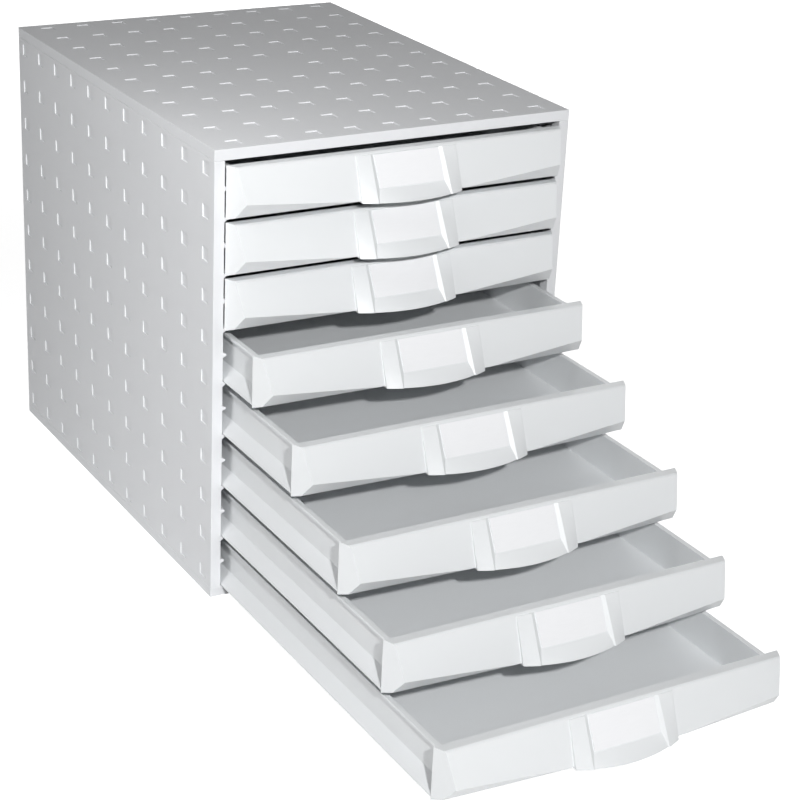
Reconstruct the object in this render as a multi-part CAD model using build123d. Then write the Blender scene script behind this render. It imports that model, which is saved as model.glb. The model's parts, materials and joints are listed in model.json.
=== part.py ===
from build123d import *
import os
from math import hypot

# Desktop filing unit: a case with eight shallow drawers that slide on rails moulded in its sides.
# Lengths are in millimetres. X runs to the right, the drawers open towards -Y, and Z is up.
# The origin is the middle of the case's underside.

# Case
case_width = 288
case_depth = 373
drawer_count = 8
slot_pitch = 40.7
top_thickness = 8
top_skin = 4.2
base_thickness = 7.4
base_skin = 3.4
base_ledge = 16
frame_width = 8
frame_depth = 10
side_skin = 5
rear_depth = 12
joint_fit = 0.15
overrun = 20

# Square pockets in the outer faces of the sides and the top
pocket_side = 9.5
pocket_depth = 2.2
pocket_columns = 11
side_pocket_rows = 11
top_pocket_rows = 9
pocket_margin_depth = 14
pocket_margin_height = 16.3
pocket_margin_width = 20.5

# Tongues on the side panels that enter grooves in the top and the base
tongue_width = 2.5
tongue_height = 3
tongue_setback = 16

# Back panel, held in grooves all round
back_thickness = 3
back_inset = 4
groove_depth = 3

# Rails moulded on the inside of the side panels
rail_reach = 2.8
rail_rise = 0.4
rail_root = 5.4
rail_tip = 1.6
guide_rise = 20.9
guide_root = 5.6
guide_tip = 1.4

# Drawer front
closed_gap = 0.4
front_side_gap = 0.5
front_top_gap = 3.1
front_between_gap = 2
front_top_depth = 8.2
front_foot_depth = 21.6
front_foot_cut = 8.6
front_end_inset = 10.2
front_wall = 2.2
front_bevel = 1
corner_facet_rise = 14.4
corner_facet_back = 8
corner_facet_start = 5.4

# Handle, an awning that grows out of the front, with a bed for the label card
handle_half = 40.6
handle_top = 1.6
handle_foot_lift = 6.3
handle_root = 3
handle_top_proud = 0.5
handle_top_bow = 0.4
handle_side_proud = 2.5
handle_bow = 9.3
handle_hollow_share = 0.2
finger_back = 2.2
label_bed_width = 53
label_bed_top = 2.1
label_bed_foot_lift = 8.5
label_bed_foot_sink = 2
label_reveal_share = 2
ledge_sink = 0.8
card_thickness = 0.6
card_fit = 0.4

# Hooks on the front that pass through the tray's front wall
hook_offset = 92
hook_width = 10
hook_thickness = 2.4
hook_rise = 16.8
hook_lip = 1.6
hook_fit = 0.3

# Tray
tray_back_gap = 14.2
tray_wall = 2
tray_floor = 1.8
floor_height = 2.6
rim_drop = 4.3
rim_overhang = 2.2
rim_thickness = 2.2
run_gap = 0.2
skirt_side_gap = 0.7
skirt_spread = 7.3
skirt_edge = 1.2
skirt_rise = 9.7
skirt_wall = 1.8

# Stop ears at the back of the tray, which meet the back of the case's front frame
ear_length = 31.3
ear_side_gap = 1.1
ear_height = 6
stop_gap = 0.3

# How far each drawer stands open, as a share of its travel, from the top one down
opening_shares = [0, 0, 0, 0.146, 0.343, 0.566, 0.765, 0.98]

case_height = base_thickness + drawer_count * slot_pitch + top_thickness
case_half = case_width / 2
inner_half = case_half - frame_width
case_front = -case_depth / 2
case_back = case_depth / 2
side_low = base_thickness
side_high = case_height - top_thickness
front_half = inner_half - front_side_gap
front_height = slot_pitch - front_between_gap
handle_foot = front_height - handle_foot_lift
front_lean = (front_foot_depth - front_top_depth) / front_height
lip_depth = front_foot_depth / (1 + front_lean * front_foot_cut / front_foot_depth)
handle_side_depth = lip_depth + handle_side_proud
handle_middle_depth = handle_side_depth + handle_bow
label_bed_foot = handle_foot - label_bed_foot_lift
label_bed_foot_depth = handle_side_depth - label_bed_foot_sink
label_bed_fall = label_bed_foot - label_bed_top
label_bed_run = label_bed_foot_depth - front_top_depth
label_bed_height = hypot(label_bed_fall, label_bed_run)
wall_across = front_wall * label_bed_height / label_bed_fall
hook_drop = front_height - hook_rise
skirt_out = inner_half - skirt_side_gap
wall_out = skirt_out - skirt_spread
tray_half = wall_out - tray_wall
tray_length = closed_gap + case_depth - back_inset - back_thickness - tray_back_gap - rim_overhang
tray_bottom = -slot_pitch + rail_rise + run_gap
travel = tray_length - ear_length - closed_gap - frame_depth - stop_gap
rim_top = -front_top_gap - rim_drop
panel_slot_low = case_back - back_inset - back_thickness - joint_fit
panel_slot_high = case_back - back_inset + joint_fit


def block(x, y, z):
    """Box between a low and a high coordinate along each axis."""
    spans = (x, y, z)
    size = [high - low for low, high in spans]
    middle = [(high + low) / 2 for low, high in spans]
    return Pos(*middle) * Box(*size)


def prism_along_depth(outline, start, end):
    """Closed outline of (x, z) points, carried along Y from start to end."""
    points = [(x, start, z) for x, z in outline]
    face = make_face(Polyline(*points, close=True))
    return extrude(face, amount=end - start, dir=(0, 1, 0))


def inside(solid, planes):
    """Part of a solid that lies behind every plane."""
    for plane in planes:
        solid = split(solid, bisect_by=plane, keep=Keep.BOTTOM)
    return solid


def slot_top(slot):
    """Height of the top of a drawer's slot, counted from the top drawer."""
    return side_high - slot * slot_pitch


def pockets(face, pitch_across, pitch_up, columns, rows, bare_middle=False):
    """Square pocket cutters on a regular grid over an outer face."""
    outlines = Sketch()
    for spot in GridLocations(pitch_across, pitch_up, columns, rows):
        if bare_middle and spot.position.length < pocket_side:
            continue
        outlines += spot * Rectangle(pocket_side, pocket_side)
    return extrude(face * outlines, amount=-pocket_depth)


def pitch_over(length, margin, count):
    """Pitch that spreads a row of pockets between two margins."""
    return (length - margin - margin) / (count - 1)


def support_rail(slot):
    """Rail whose flat top carries the tray of one slot, on the left side."""
    top = slot_top(slot) - slot_pitch + rail_rise
    root = -case_half + side_skin
    tip = -inner_half + rail_reach
    section = [(root, top), (tip, top), (tip, top - rail_tip), (root, top - rail_root)]
    return prism_along_depth(section, case_front, case_back - rear_depth)


def guide_rail(slot):
    """Tapered rail half way up a slot, on the left side."""
    middle = slot_top(slot) - slot_pitch + guide_rise
    root = -case_half + side_skin
    tip = -inner_half + rail_reach
    half_root = guide_root / 2
    half_tip = guide_tip / 2
    section = [
        (root, middle + half_root),
        (tip, middle + half_tip),
        (tip, middle - half_tip),
        (root, middle - half_root),
    ]
    return prism_along_depth(section, case_front, case_back - rear_depth)


def tongue_span(side, slack=0):
    """Low and high X of a side panel's tongue, or of its groove with some slack."""
    outer = case_half - side_skin + tongue_width + slack
    inner = case_half - side_skin - slack
    return (-outer, -inner) if side < 0 else (inner, outer)


def tongue_run(slack=0):
    """Low and high Y of a tongue, or of its groove."""
    return (case_front + tongue_setback - slack, case_back - tongue_setback + slack)


def side_panel():
    """Left side: a skin with a front frame, a rear return, rails, tongues and pockets."""
    height = (side_low, side_high)
    body = block((-case_half, -case_half + side_skin), (case_front, case_back), height)
    body += block((-case_half, -inner_half), (case_front, case_front + frame_depth), height)
    body += block((-case_half, -inner_half), (case_back - rear_depth, case_back), height)
    body -= block((-inner_half - groove_depth, -inner_half), (panel_slot_low, panel_slot_high), height)
    for slot in range(drawer_count):
        body += guide_rail(slot)
    for slot in range(drawer_count - 1):
        body += support_rail(slot)
    body += block(tongue_span(-1), tongue_run(), (side_high, side_high + tongue_height))
    body += block(tongue_span(-1), tongue_run(), (side_low - tongue_height, side_low))
    face = Plane(origin=(-case_half, 0, case_height / 2), x_dir=(0, -1, 0), z_dir=(-1, 0, 0))
    pitch_across = pitch_over(case_depth, pocket_margin_depth, pocket_columns)
    pitch_up = pitch_over(case_height, pocket_margin_height, side_pocket_rows)
    return body - pockets(face, pitch_across, pitch_up, pocket_columns, side_pocket_rows)


def end_panel_grooves(low, high):
    """Cutters for the tongues and the back panel, between two heights."""
    run = tongue_run(joint_fit)
    grooves = [block(tongue_span(side, joint_fit), run, (low, high)) for side in (-1, 1)]
    reach = inner_half + groove_depth
    grooves.append(block((-reach, reach), (panel_slot_low, panel_slot_high), (low, high)))
    return grooves


def top_panel():
    """Top: a skin with a deep rim all round and the pocket pattern, bare at its middle."""
    body = block((-case_half, case_half), (case_front, case_back), (side_high, case_height))
    hollow_y = (case_front + frame_depth, case_back - rear_depth)
    body -= block((-inner_half, inner_half), hollow_y, (side_high, case_height - top_skin))
    for groove in end_panel_grooves(side_high, side_high + tongue_height + joint_fit):
        body -= groove
    face = Plane(origin=(0, 0, case_height), x_dir=(1, 0, 0), z_dir=(0, 0, 1))
    pitch_across = pitch_over(case_width, pocket_margin_width, top_pocket_rows)
    pitch_up = pitch_over(case_depth, pocket_margin_depth, pocket_columns)
    return body - pockets(face, pitch_across, pitch_up, top_pocket_rows, pocket_columns, bare_middle=True)


def base_panel():
    """Base: a flat underside, a hollow upper side and two strips that carry the lowest tray."""
    body = block((-case_half, case_half), (case_front, case_back), (0, base_thickness))
    hollow_half = case_half - base_ledge
    hollow_y = (case_front + frame_depth, case_back - rear_depth)
    body -= block((-hollow_half, hollow_half), hollow_y, (base_skin, base_thickness))
    for groove in end_panel_grooves(base_thickness - tongue_height - joint_fit, base_thickness):
        body -= groove
    strip_y = (case_front, case_back - rear_depth)
    strip_z = (base_thickness, base_thickness + rail_rise)
    inner = inner_half - rail_reach
    outer = inner_half - joint_fit
    for low, high in ((-outer, -inner), (inner, outer)):
        body += block((low, high), strip_y, strip_z)
    return body


def back_panel():
    """Flat back, its four edges in the grooves of the panels round it."""
    half = inner_half + groove_depth - joint_fit
    low = base_thickness - tongue_height
    high = side_high + tongue_height
    thickness = (panel_slot_low + joint_fit, panel_slot_high - joint_fit)
    return block((-half, half), thickness, (low, high))


def front_depth_at(drop):
    """Depth of the leaning front face at a drop below the front's top edge."""
    return front_top_depth + front_lean * drop


def underside_drop(depth):
    """Drop of the front's cut-away underside at a depth."""
    return front_height - front_foot_cut * depth / front_foot_depth


def front_end_at(depth):
    """Half width of the front where its end facets reach a depth."""
    return front_half - front_end_inset * depth / front_foot_depth


def front_planes():
    """Outer planes of the front: face, top bevel, cut-away underside, end facets and corner facets."""
    lean = front_foot_depth - front_top_depth
    face = Plane(origin=(0, -front_top_depth, 0), z_dir=(0, -front_height, lean))
    bevel_run = front_depth_at(front_bevel) - front_top_depth + front_bevel
    bevel = Plane(origin=(0, -front_top_depth + front_bevel, 0), z_dir=(0, -front_bevel, bevel_run))
    underside = Plane(origin=(0, 0, -front_height), z_dir=(0, -front_foot_cut, -front_foot_depth))
    planes = [face, bevel, underside]
    start = handle_half + corner_facet_start
    upper_drop = front_height - corner_facet_rise
    upper_depth = front_depth_at(upper_drop)
    for side in (-1, 1):
        end_normal = (side * front_foot_depth, -front_end_inset, 0)
        planes.append(Plane(origin=(side * front_half, 0, 0), z_dir=end_normal))
        first = Vector(side * start, -lip_depth, -underside_drop(lip_depth))
        second = Vector(side * front_end_at(upper_depth), -upper_depth, -upper_drop)
        back_end = side * front_end_at(corner_facet_back)
        third = Vector(back_end, -corner_facet_back, -underside_drop(corner_facet_back))
        normal = (second - first).cross(third - first)
        if normal.Z > 0:
            normal = normal * -1
        planes.append(Plane(origin=first, z_dir=normal))
    return planes


def front_mass(inset, back):
    """Solid of the plain front, drawn in by an inset and reaching back to a given Y."""
    reach = front_half - inset
    bulk = block((-reach, reach), (-front_foot_depth, back), (-front_height + inset, -inset))
    return inside(bulk, [plane.offset(-inset) for plane in front_planes()])


def level_section(drop, half, side_depth, middle_depth):
    """Level outline with straight sides and back, and a front that is straight or bowed."""
    left_front = (-half, -side_depth, -drop)
    right_front = (half, -side_depth, -drop)
    sides = Polyline(left_front, (-half, -handle_root, -drop), (half, -handle_root, -drop), right_front)
    if middle_depth > side_depth:
        return make_face(sides + ThreePointArc(right_front, (0, -middle_depth, -drop), left_front))
    return make_face(sides + Line(right_front, left_front))


def handle_section(share, inset):
    """Level outline of the handle, at a share of the way from its top to its foot."""
    drop = handle_top + (handle_foot - handle_top) * share
    top_depth = front_depth_at(handle_top) + handle_top_proud
    side_depth = top_depth + (handle_side_depth - top_depth) * share - inset
    middle_top = top_depth + handle_top_bow
    middle_depth = middle_top + (handle_middle_depth - middle_top) * share - inset
    return level_section(drop, handle_half - inset, side_depth, middle_depth)


def label_plane():
    """Plane of the label card's bed, its Z away from the front."""
    depth = (front_top_depth + label_bed_foot_depth) / 2
    drop = (label_bed_top + label_bed_foot) / 2
    return Plane(origin=(0, -depth, -drop), x_dir=(1, 0, 0), z_dir=(0, -label_bed_fall, label_bed_run))


def ledge_mass(inset):
    """Solid behind the ledge, from the foot of the label bed to the bowed foot of the handle."""
    top_depth = label_bed_foot_depth - inset
    side_depth = handle_side_depth - ledge_sink - inset
    middle_depth = handle_middle_depth - ledge_sink - inset
    top = level_section(label_bed_foot, handle_half, top_depth, top_depth)
    foot = level_section(handle_foot, handle_half, side_depth, middle_depth)
    return loft([top, foot], ruled=True)


def label_recess(wall):
    """Cutter over the label bed and the ledge, between splayed ends; a wall makes it larger."""
    bed = label_plane()
    sunk = bed.offset(-wall)
    top = sunk.origin + sunk.y_dir * (label_bed_height / 2 + wall)
    foot = sunk.origin - sunk.y_dir * (label_bed_height / 2)
    over = top + sunk.z_dir * overrun
    low = -handle_foot - overrun
    out = foot.Y - handle_bow - overrun
    reach = handle_half + overrun
    corners = [(top.Y, top.Z), (foot.Y, foot.Z), (foot.Y, low), (out, low), (over.Y, over.Z)]
    outline = make_face(Polyline(*[(-reach, y, z) for y, z in corners], close=True))
    cutter = extrude(outline, amount=reach + reach, dir=(1, 0, 0))
    ends = []
    for side in (-1, 1):
        origin = bed.origin + Vector(side * (label_bed_width / 2 + wall), 0, 0)
        ends.append(Plane(origin=origin, z_dir=Vector(side, 0, 0) - bed.z_dir * label_reveal_share))
    return inside(cutter, ends) - ledge_mass(wall_across if wall > 0 else 0)


def hook(side, fit=0):
    """Hook on the front, or with a fit its slot in the tray's front wall."""
    half = hook_width / 2 + fit
    root = -front_depth_at(hook_drop) + front_wall / 2
    drop = (-hook_drop - hook_thickness / 2 - fit, -hook_drop + hook_thickness / 2 + fit)
    centre = side * hook_offset
    return block((centre - half, centre + half), (root, tray_wall + hook_lip), drop)


def drawer_front():
    """Moulded front: a leaning hollow panel with cut corners, and an awning handle over a label bed."""
    outer = front_mass(0, 0) + loft([handle_section(0, 0), handle_section(1, 0)], ruled=True)
    hollow_top = handle_section(handle_hollow_share, wall_across)
    hollow = loft([hollow_top, handle_section(1, wall_across)], ruled=True) - label_recess(front_wall)
    finger_half = handle_half - wall_across
    finger_slot = block(
        (-finger_half, finger_half),
        (-front_foot_depth - overrun, -finger_back),
        (-front_height - overrun, -handle_foot),
    )
    body = outer - front_mass(front_wall, overrun) - hollow - finger_slot - label_recess(0)
    for side in (-1, 1):
        body += hook(side)
    return Pos(0, 0, -front_top_gap) * body


def label_card():
    """Blank card that lies in the label bed."""
    outline = Rectangle(label_bed_width - 2 * card_fit, label_bed_height - 2 * card_fit)
    return Pos(0, 0, -front_top_gap) * extrude(label_plane() * outline, amount=card_thickness)


def tray_section():
    """Right half of the tray's section, as (x, z) points from the middle of the floor round the wall."""
    floor_low = tray_bottom + floor_height
    floor_top = floor_low + tray_floor
    skirt_top = tray_bottom + skirt_rise
    skirt_slope = (skirt_rise - skirt_edge) / (skirt_out - wall_out)
    return [
        (tray_half, floor_top),
        (tray_half, rim_top),
        (wall_out + rim_overhang, rim_top),
        (wall_out + rim_overhang, rim_top - rim_thickness),
        (wall_out, rim_top - rim_thickness),
        (wall_out, skirt_top),
        (skirt_out, tray_bottom + skirt_edge),
        (skirt_out, tray_bottom),
        (skirt_out - skirt_wall, tray_bottom),
        (wall_out, tray_bottom + (skirt_out - skirt_wall - wall_out) * skirt_slope),
        (wall_out, floor_low),
    ]


def tray():
    """Open tray: floor, two walls with rims and sloping skirts, front and back walls, stop ears."""
    right = tray_section()
    left = [(-x, z) for x, z in reversed(right)]
    body = prism_along_depth(right + left, 0, tray_length)
    floor_low = tray_bottom + floor_height
    body += block((-tray_half, tray_half), (0, tray_wall), (floor_low, rim_top))
    back_wall = (tray_length - tray_wall, tray_length)
    body += block((-tray_half, tray_half), back_wall, (floor_low, rim_top))
    rim_half = wall_out + rim_overhang
    back_rim = (tray_length, tray_length + rim_overhang)
    body += block((-rim_half, rim_half), back_rim, (rim_top - rim_thickness, rim_top))
    for side in (-1, 1):
        body -= Pos(0, 0, -front_top_gap) * hook(side, hook_fit)
        body += stop_ear(side)
    return body


def stop_ear(side):
    """Ear on the back of a skirt that stops the tray at the end of its travel."""
    near = closed_gap + frame_depth + travel + stop_gap
    root = skirt_out - skirt_wall
    tip = case_half - side_skin - ear_side_gap
    low, high = sorted((side * root, side * tip))
    ear_z = (tray_bottom, tray_bottom + ear_height)
    return block((low, high), (near, tray_length), ear_z)


def save(name, shape):
    """One file for each piece of the unit."""
    export_step(shape, f"parts/{name}.step")


os.makedirs("parts", exist_ok=True)

left_side = side_panel()
save("left_side_panel", left_side)
save("right_side_panel", mirror(left_side, about=Plane.YZ))
save("top_panel", top_panel())
save("base_panel", base_panel())
save("back_panel", back_panel())

one_tray = tray()
one_front = drawer_front()
one_card = label_card()
for number, open_share in enumerate(opening_shares):
    place = Pos(0, case_front - closed_gap - open_share * travel, slot_top(number))
    save(f"tray_{number + 1}", place * one_tray)
    save(f"front_{number + 1}", place * one_front)
    save(f"label_card_{number + 1}", place * one_card)
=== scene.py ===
# %% [markdown]
# # A desktop filing unit in pale moulded plastic
#
# The unit is a plain case with eight shallow drawers for paper. Every size and every moving part is
# already settled in the frame, so this script only dresses it: it gives each moulding its plastic and its
# rounded edges, sets the unit on a pale floor, lights it and points a camera at it. All lengths are in
# metres.

# %% Load the frame
import json
from math import radians

import bmesh
import bpy
from mathutils import Matrix, Vector


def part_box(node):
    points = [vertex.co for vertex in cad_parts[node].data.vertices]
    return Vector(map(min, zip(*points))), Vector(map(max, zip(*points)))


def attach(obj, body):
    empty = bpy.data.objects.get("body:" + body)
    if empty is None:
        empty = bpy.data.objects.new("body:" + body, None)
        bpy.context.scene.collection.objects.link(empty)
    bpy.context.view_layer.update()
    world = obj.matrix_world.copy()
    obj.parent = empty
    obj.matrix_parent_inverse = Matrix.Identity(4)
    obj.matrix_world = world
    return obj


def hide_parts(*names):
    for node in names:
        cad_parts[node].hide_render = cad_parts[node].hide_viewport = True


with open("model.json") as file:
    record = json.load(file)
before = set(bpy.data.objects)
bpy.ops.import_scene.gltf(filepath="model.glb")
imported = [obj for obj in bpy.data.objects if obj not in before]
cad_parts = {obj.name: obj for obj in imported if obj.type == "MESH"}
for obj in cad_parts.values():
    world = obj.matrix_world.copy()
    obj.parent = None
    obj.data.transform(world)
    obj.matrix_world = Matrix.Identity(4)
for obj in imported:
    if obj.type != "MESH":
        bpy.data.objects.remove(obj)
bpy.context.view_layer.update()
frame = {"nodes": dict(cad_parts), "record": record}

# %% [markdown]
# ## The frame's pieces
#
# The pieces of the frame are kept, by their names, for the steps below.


nodes = frame["nodes"]

# %% [markdown]
# ## Shader maths in plain expressions
#
# A material is a small calculation over the surface. Nodes can be wired one by one, but a long chain is
# hard to read, so a thin wrapper round a socket lets the sums be written as sums. Each operator adds one
# Math node. A desk holds one node tree and adds every other kind of node. The Mix node keeps a set of
# sockets for each kind of value under the same names, so those for colours are found by their places.

# %% A wrapper round a socket


class Wire:
    """An output socket that can be used in a sum."""

    def __init__(self, desk, socket):
        self.desk = desk
        self.socket = socket

    def maths(self, operation, *values):
        """One Math node, with this socket as its first value."""
        return self.desk.node("ShaderNodeMath", {"operation": operation}, dict(enumerate((self, *values))))

    def __add__(self, other):
        return self.maths("ADD", other)

    def __mul__(self, other):
        return self.maths("MULTIPLY", other)

    def __sub__(self, other):
        return self.maths("SUBTRACT", other)

    __radd__ = __add__
    __rmul__ = __mul__


colour_mix_factor = 0
colour_mix_first = 6
colour_mix_second = 7
colour_mix_result = 2


class Desk:
    """The node tree of a material or a world, with methods that add a node and join it up."""

    def __init__(self, owner):
        self.owner = owner
        owner.use_nodes = True
        self.tree = owner.node_tree
        self.tree.nodes.clear()

    def node(self, kind, settings=None, inputs=None, output=0):
        """Any kind of node, with its settings, its inputs and the output that is wanted."""
        made = self.tree.nodes.new(kind)
        for key, value in (settings or {}).items():
            setattr(made, key, value)
        for key, value in (inputs or {}).items():
            if isinstance(value, Wire):
                self.tree.links.new(value.socket, made.inputs[key])
            else:
                made.inputs[key].default_value = value
        return Wire(self, made.outputs[output])

    def done(self, surface, kind="ShaderNodeOutputMaterial"):
        """Join the finished surface to the output."""
        end = self.tree.nodes.new(kind)
        self.tree.links.new(surface.socket, end.inputs["Surface"])
        return self.owner

    def in_view(self):
        """One where a surface is seen directly, mirrored or through glass, and zero elsewhere."""
        seen = self.node("ShaderNodeLightPath", output="Is Camera Ray")
        mirrored = self.node("ShaderNodeLightPath", output="Is Glossy Ray")
        through = self.node("ShaderNodeLightPath", output="Is Transmission Ray")
        return seen.maths("MAXIMUM", mirrored).maths("MAXIMUM", through)

    def place(self):
        """Where a point lies on its piece, in the piece's own axes."""
        return self.node("ShaderNodeTexCoord", output="Object")

    def noise(self, place, scale, detail, roughness=0.5):
        """Noise in three dimensions, between zero and one."""
        return self.node("ShaderNodeTexNoise", {"noise_dimensions": "3D"},
                         {"Vector": place, "Scale": scale, "Detail": detail, "Roughness": roughness})

    def between(self, share, first, second):
        """A colour between two others."""
        return self.node("ShaderNodeMix", {"data_type": "RGBA", "clamp_factor": True},
                         {colour_mix_factor: share, colour_mix_first: first, colour_mix_second: second},
                         output=colour_mix_result)

    def either(self, share, first, second):
        """One surface or another, or a mixture of both."""
        return self.node("ShaderNodeMixShader", {}, {0: share, 1: first, 2: second})


def new_material(name):
    """A desk for a new material."""
    return Desk(bpy.data.materials.new(name))


def grey(value, tint=(1, 1, 1)):
    """A colour made of one brightness and a slight tint."""
    return (value * tint[0], value * tint[1], value * tint[2], 1)


# %% [markdown]
# ## The moulded plastic
#
# The case and the drawers are polystyrene from a steel mould. The case's skins carry a fine eroded grain,
# which breaks up reflections; the fronts are smoother. A faint, broad mottling in the colour keeps a
# large flat panel from looking painted. The surface reflects a little less than bare plastic would,
# because the room is all white and would otherwise veil the darker top with sheen.

# %% Plastic
mottle_scale = 9.0
mottle_detail = 3.0
mottle_roughness = 0.55
mottle_share = 1.5
shade_spread = 0.06
gloss_spread = 0.12
grain_detail = 2.0
grain_roughness = 0.6
reflection = 0.3
middle = 0.5


def moulded_plastic(name, shade, tint, roughness, grain_size, grain_depth, mottle):
    """Satin plastic with a mottled colour and a fine grain."""
    desk = new_material(name)
    place = desk.place()
    broad = desk.noise(place, mottle_scale, mottle_detail, mottle_roughness)
    fine = desk.noise(place, 1 / grain_size, grain_detail, grain_roughness)
    speck = (fine - middle) * mottle
    tone = (broad - middle) * (mottle * mottle_share) + speck + middle
    darker = grey(shade * (1 - shade_spread), tint)
    lighter = grey(shade * (1 + shade_spread), tint)
    colour = desk.between(tone, darker, lighter)
    grain = desk.node("ShaderNodeBump", {}, {"Strength": 1.0, "Distance": grain_depth, "Height": fine})
    gloss = roughness + (broad - middle) * gloss_spread
    surface = desk.node("ShaderNodeBsdfPrincipled", {},
                        {"Base Color": colour, "Roughness": gloss, "Normal": grain,
                         "Specular IOR Level": reflection})
    return desk.done(surface)


case_plastic = moulded_plastic("case_plastic", shade=0.80, tint=(0.965, 0.978, 1.0), roughness=0.5,
                               grain_size=0.0007, grain_depth=0.00006, mottle=0.10)
tray_plastic = moulded_plastic("tray_plastic", shade=0.80, tint=(0.962, 0.984, 1.0), roughness=0.42,
                               grain_size=0.0010, grain_depth=0.00003, mottle=0.08)
front_plastic = moulded_plastic("front_plastic", shade=0.80, tint=(0.964, 0.986, 1.0), roughness=0.36,
                                grain_size=0.0010, grain_depth=0.00002, mottle=0.06)
print("plastics", case_plastic.name, tray_plastic.name, front_plastic.name)

# %% [markdown]
# ## The label cards
#
# Each handle holds a blank card. Card is rougher than plastic and shows a faint fibre, so its noise is
# stretched in one direction.

# %% Card
card_dark = 0.86
card_light = 0.89
card_tint = (0.975, 0.982, 1.0)
card_roughness = 0.85
fibre_stretch = (120.0, 900.0, 900.0)
fibre_detail = 3.0
fibre_strength = 0.4
fibre_depth = 0.00004


def plain_card(name):
    """Blank white card with a faint fibre."""
    desk = new_material(name)
    stretched = desk.node("ShaderNodeMapping", {}, {"Vector": desk.place(), "Scale": fibre_stretch})
    fibre = desk.noise(stretched, 1.0, fibre_detail)
    colour = desk.between(fibre, grey(card_dark, card_tint), grey(card_light, card_tint))
    weave = desk.node("ShaderNodeBump", {},
                      {"Strength": fibre_strength, "Distance": fibre_depth, "Height": fibre})
    surface = desk.node("ShaderNodeBsdfPrincipled", {},
                        {"Base Color": colour, "Roughness": card_roughness, "Normal": weave})
    return desk.done(surface)


label_card = plain_card("label_card")

# %% [markdown]
# ## Which piece gets which finish
#
# The pieces' names say what they are. Trays, fronts and cards each have a finish of their own, and all
# the rest belongs to the case.

# %% Give each moulding its finish
finishes = {"tray_": tray_plastic, "front_": front_plastic, "label_card_": label_card}


def by_start(table, name, otherwise):
    """The entry of a table whose key begins a piece's name."""
    return next((entry for start, entry in table.items() if name.startswith(start)), otherwise)


def finish_of(name):
    """The finish that goes with a piece's name."""
    return by_start(finishes, name, case_plastic)


for name, piece in nodes.items():
    piece.data.materials.clear()
    piece.data.materials.append(finish_of(name))
print("dressed", len(nodes), "pieces")

# %% [markdown]
# ## Rounded edges
#
# The frame's solids have knife edges. No steel mould gives those: each edge of a real moulding has a
# small radius, which catches a thin line of light, and two flush panels meet in a fine groove. So each
# moulding is copied, its loose triangles are joined into whole faces, and a Bevel modifier rounds every
# sharp edge. A Weighted Normal modifier then keeps the broad faces flat. The outer skins of the case are
# full of holes, and a face with holes can't be one polygon, so there the triangles stay and are only made
# better shaped. The pockets are also made shallower: on the real case only a thin strip of their far wall
# shows.

# %% Sizes of the rounding
edge_radius = {"front_": 0.001, "tray_": 0.0004}
case_edge_radius = 0.0004
joining_distance = 0.00002
flat_angle = radians(0.5)
sharp_angle = radians(25)
rounding_segments = 2
pocket_depth = 0.0022
pocket_lift = 0.0013
level_slack = 0.00005

# %% Rounded copies
record = frame["record"]
body_of = {node: body for body, members in record["behaviour"]["bodies"].items() for node in members}


def pocket_face(name):
    """Axis, level and direction of the outer face that holds a panel's pockets, or nothing."""
    low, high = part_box(name)
    if name == "top_panel":
        return 2, high[2], 1
    if name == "left_side_panel":
        return 0, low[0], -1
    if name == "right_side_panel":
        return 0, high[0], 1
    return None


def at_level(verts, axis, level):
    """Whether every corner lies at a level along an axis."""
    return all(abs(vert.co[axis] - level) < level_slack for vert in verts)


def in_skin(edge, axis, level):
    """Whether all the faces of an edge lie in the skin."""
    return all(at_level(face.verts, axis, level) for face in edge.link_faces)


def lift_pockets(shape, axis, level, out):
    """Make a panel's pockets shallower and its pierced skin a mesh of well-shaped triangles."""
    floor_level = level - out * pocket_depth
    floors = [vert for vert in shape.verts if at_level([vert], axis, floor_level)]
    lift = Vector()
    lift[axis] = out * pocket_lift
    bmesh.ops.translate(shape, verts=floors, vec=lift)
    skin = [face for face in shape.faces if at_level(face.verts, axis, level)]
    inner = [edge for edge in shape.edges if in_skin(edge, axis, level)]
    bmesh.ops.beautify_fill(shape, faces=skin, edges=inner, method="ANGLE")
    print("pocket corners", len(floors), "skin faces", len(skin))


def rounded_copy(name):
    """A node's moulding with whole faces and rounded edges, which stands for the node."""
    shape = bmesh.new()
    shape.from_mesh(nodes[name].data)
    bmesh.ops.remove_doubles(shape, verts=shape.verts, dist=joining_distance)
    pierced = pocket_face(name)
    loose = list(shape.edges)
    if pierced:
        axis, level, out = pierced
        lift_pockets(shape, axis, level, out)
        loose = [edge for edge in shape.edges if not in_skin(edge, axis, level)]
    bmesh.ops.dissolve_limit(shape, angle_limit=flat_angle, verts=shape.verts, edges=loose)
    for face in shape.faces:
        face.smooth = True
    mesh = bpy.data.meshes.new(name + "_moulding")
    shape.to_mesh(mesh)
    shape.free()
    mesh.materials.append(finish_of(name))
    piece = bpy.data.objects.new(name + "_moulding", mesh)
    bpy.context.scene.collection.objects.link(piece)
    rounding = piece.modifiers.new("rounding", "BEVEL")
    rounding.width = by_start(edge_radius, name, case_edge_radius)
    rounding.segments = rounding_segments
    rounding.limit_method = "ANGLE"
    rounding.angle_limit = sharp_angle
    rounding.miter_outer = "MITER_ARC"
    rounding.loop_slide = False
    evenness = piece.modifiers.new("even_normals", "WEIGHTED_NORMAL")
    evenness.keep_sharp = True
    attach(piece, body_of[name])
    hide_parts(name)


mouldings = [name for name in nodes if not name.startswith("label_card_")]
for name in mouldings:
    rounded_copy(name)
print("rounded", len(mouldings), "mouldings")

# %% [markdown]
# ## Floor and background
#
# The floor is a pale plane that carries on far behind the unit, so that no horizon shows. To the camera
# it also glows, a little less near the unit, where it keeps the faint shadow, and fully white further
# out.

# %% Floor
floor_size = 14.0
floor_shade = 0.75
glow_near = 0.9
glow_far = 1.0
glow_starts = 0.5
glow_is_full = 1.5


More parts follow.
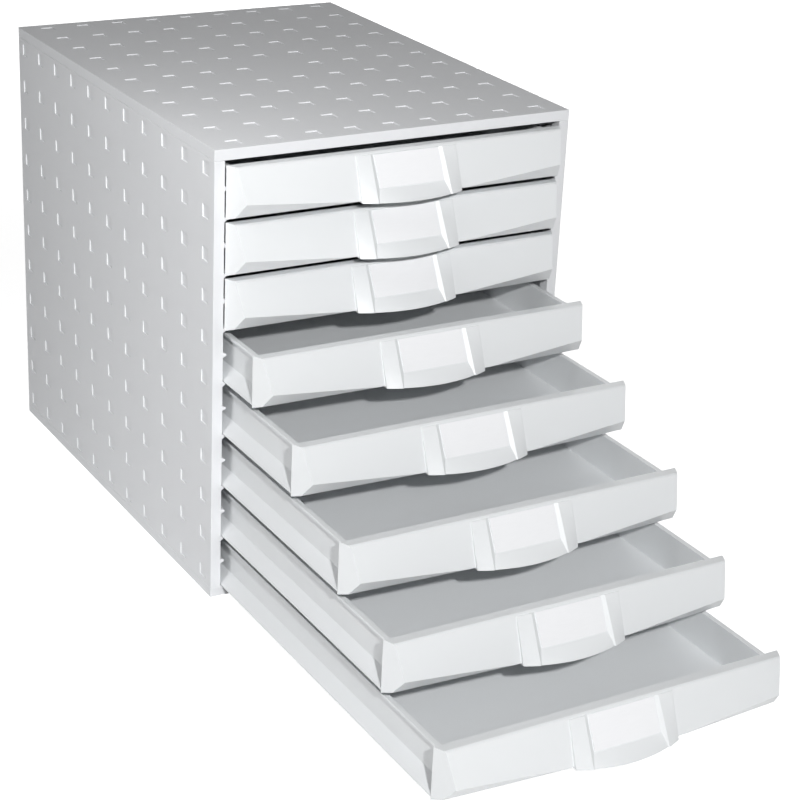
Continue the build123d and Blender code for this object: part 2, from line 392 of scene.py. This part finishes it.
def pale_floor():
    """A large glowing square at the height of the unit's underside."""
    mesh = bpy.data.meshes.new("floor")
    shape = bmesh.new()
    bmesh.ops.create_grid(shape, x_segments=1, y_segments=1, size=floor_size / 2)
    shape.to_mesh(mesh)
    shape.free()
    floor = bpy.data.objects.new("floor", mesh)
    bpy.context.scene.collection.objects.link(floor)
    desk = new_material("floor_white")
    away = desk.node("ShaderNodeVectorMath", {"operation": "LENGTH"}, {0: desk.place()}, output="Value")
    level = desk.node("ShaderNodeMapRange", {"interpolation_type": "SMOOTHSTEP"},
                      {"Value": away, "From Min": glow_starts, "From Max": glow_is_full,
                       "To Min": glow_near, "To Max": glow_far})
    surface = desk.node("ShaderNodeBsdfDiffuse", {}, {"Color": grey(floor_shade)})
    glow = desk.node("ShaderNodeEmission", {}, {"Color": level, "Strength": 1.0})
    lifted = desk.node("ShaderNodeAddShader", {}, {0: surface, 1: glow})
    mesh.materials.append(desk.done(desk.either(desk.in_view(), surface, lifted)))


pale_floor()

# %% [markdown]
# ## The world
#
# The world is white where it is seen and dim as a light, so that the gaps between the drawers stay dark.

# %% World
world_fill = 0.02


def white_world(strength):
    """Dim white light all round, fully white where it is seen."""
    world = bpy.data.worlds.new("studio")
    bpy.context.scene.world = world
    desk = Desk(world)
    fill = desk.node("ShaderNodeBackground", {}, {"Strength": strength})
    seen = desk.node("ShaderNodeBackground", {}, {"Strength": 1.0})
    for background in (fill, seen):
        background.socket.node.inputs["Color"].default_value = grey(1.0)
    desk.done(desk.either(desk.in_view(), fill, seen), "ShaderNodeOutputWorld")


white_world(world_fill)

# %% [markdown]
# ## Light
#
# The key light stands in front of the unit, a little to the left and above it. It is small, so its
# shadows are crisp, and fairly near, so the top falls off towards the back. A weak lamp close over the
# top brightens its front left, and a larger one low on the left fills the side wall and the end faces of
# the drawers. A fourth lamp stands behind on the right, no higher than the case, so it lights the back
# and the right side and nothing that the main picture shows.

# %% Lights


def lamp(name, aim, heading, height, distance, size, power):
    """A soft square lamp that looks at a point from a heading and a height, both in degrees."""
    data = bpy.data.lights.new(name, "AREA")
    data.shape = "SQUARE"
    data.size = size
    data.energy = power
    light = bpy.data.objects.new(name, data)
    bpy.context.scene.collection.objects.link(light)
    turn = Matrix.Rotation(radians(heading), 3, "Z") @ Matrix.Rotation(radians(90 - height), 3, "X")
    light.matrix_world = Matrix.Translation(Vector(aim) + turn @ Vector((0, 0, distance))) @ turn.to_4x4()
    light.visible_camera = False


lamp("key", aim=(0.0, -0.3, 0.15), heading=-21, height=31, distance=1.8, size=0.06, power=27)
lamp("top_left", aim=(-0.1, -0.15, 0.2), heading=-53.6, height=64, distance=0.45, size=0.2, power=0.45)
lamp("side", aim=(-0.144, -0.25, 0.09), heading=-90, height=0, distance=0.75, size=0.4, power=2.3)
lamp("back_right", aim=(0.0, 0.1, 0.16), heading=135, height=0, distance=2.2, size=0.3, power=28)

# %% [markdown]
# ## Camera
#
# The camera looks at the unit from the front left and from above. Its heading, height and tilt in
# degrees, its distance and its angle of view were solved from the corners of the case and of the drawers.
# The angle of view is given as a focal length in pixels of a square picture.

# %% Camera
camera_heading = -31.08
camera_height = 23.37
camera_tilt = 2.82
camera_distance = 1.6707
camera_aim = (0.0741, -0.0810, 0.0780)
focal_length_px = 2058.2
picture_px = 800
sensor_mm = 36.0


def aim_camera():
    """A camera turned by its heading, height and tilt, and moved back from its aim."""
    data = bpy.data.cameras.new("camera")
    data.sensor_width = sensor_mm
    data.lens = focal_length_px / picture_px * sensor_mm
    camera = bpy.data.objects.new("camera", data)
    bpy.context.scene.collection.objects.link(camera)
    turn = (Matrix.Rotation(radians(camera_heading), 3, "Z")
            @ Matrix.Rotation(radians(90 - camera_height), 3, "X")
            @ Matrix.Rotation(radians(camera_tilt), 3, "Z"))
    spot = Vector(camera_aim) + turn @ Vector((0, 0, camera_distance))
    camera.matrix_world = Matrix.Translation(spot) @ turn.to_4x4()
    bpy.context.scene.camera = camera


aim_camera()
bpy.context.scene.view_settings.view_transform = "Standard"
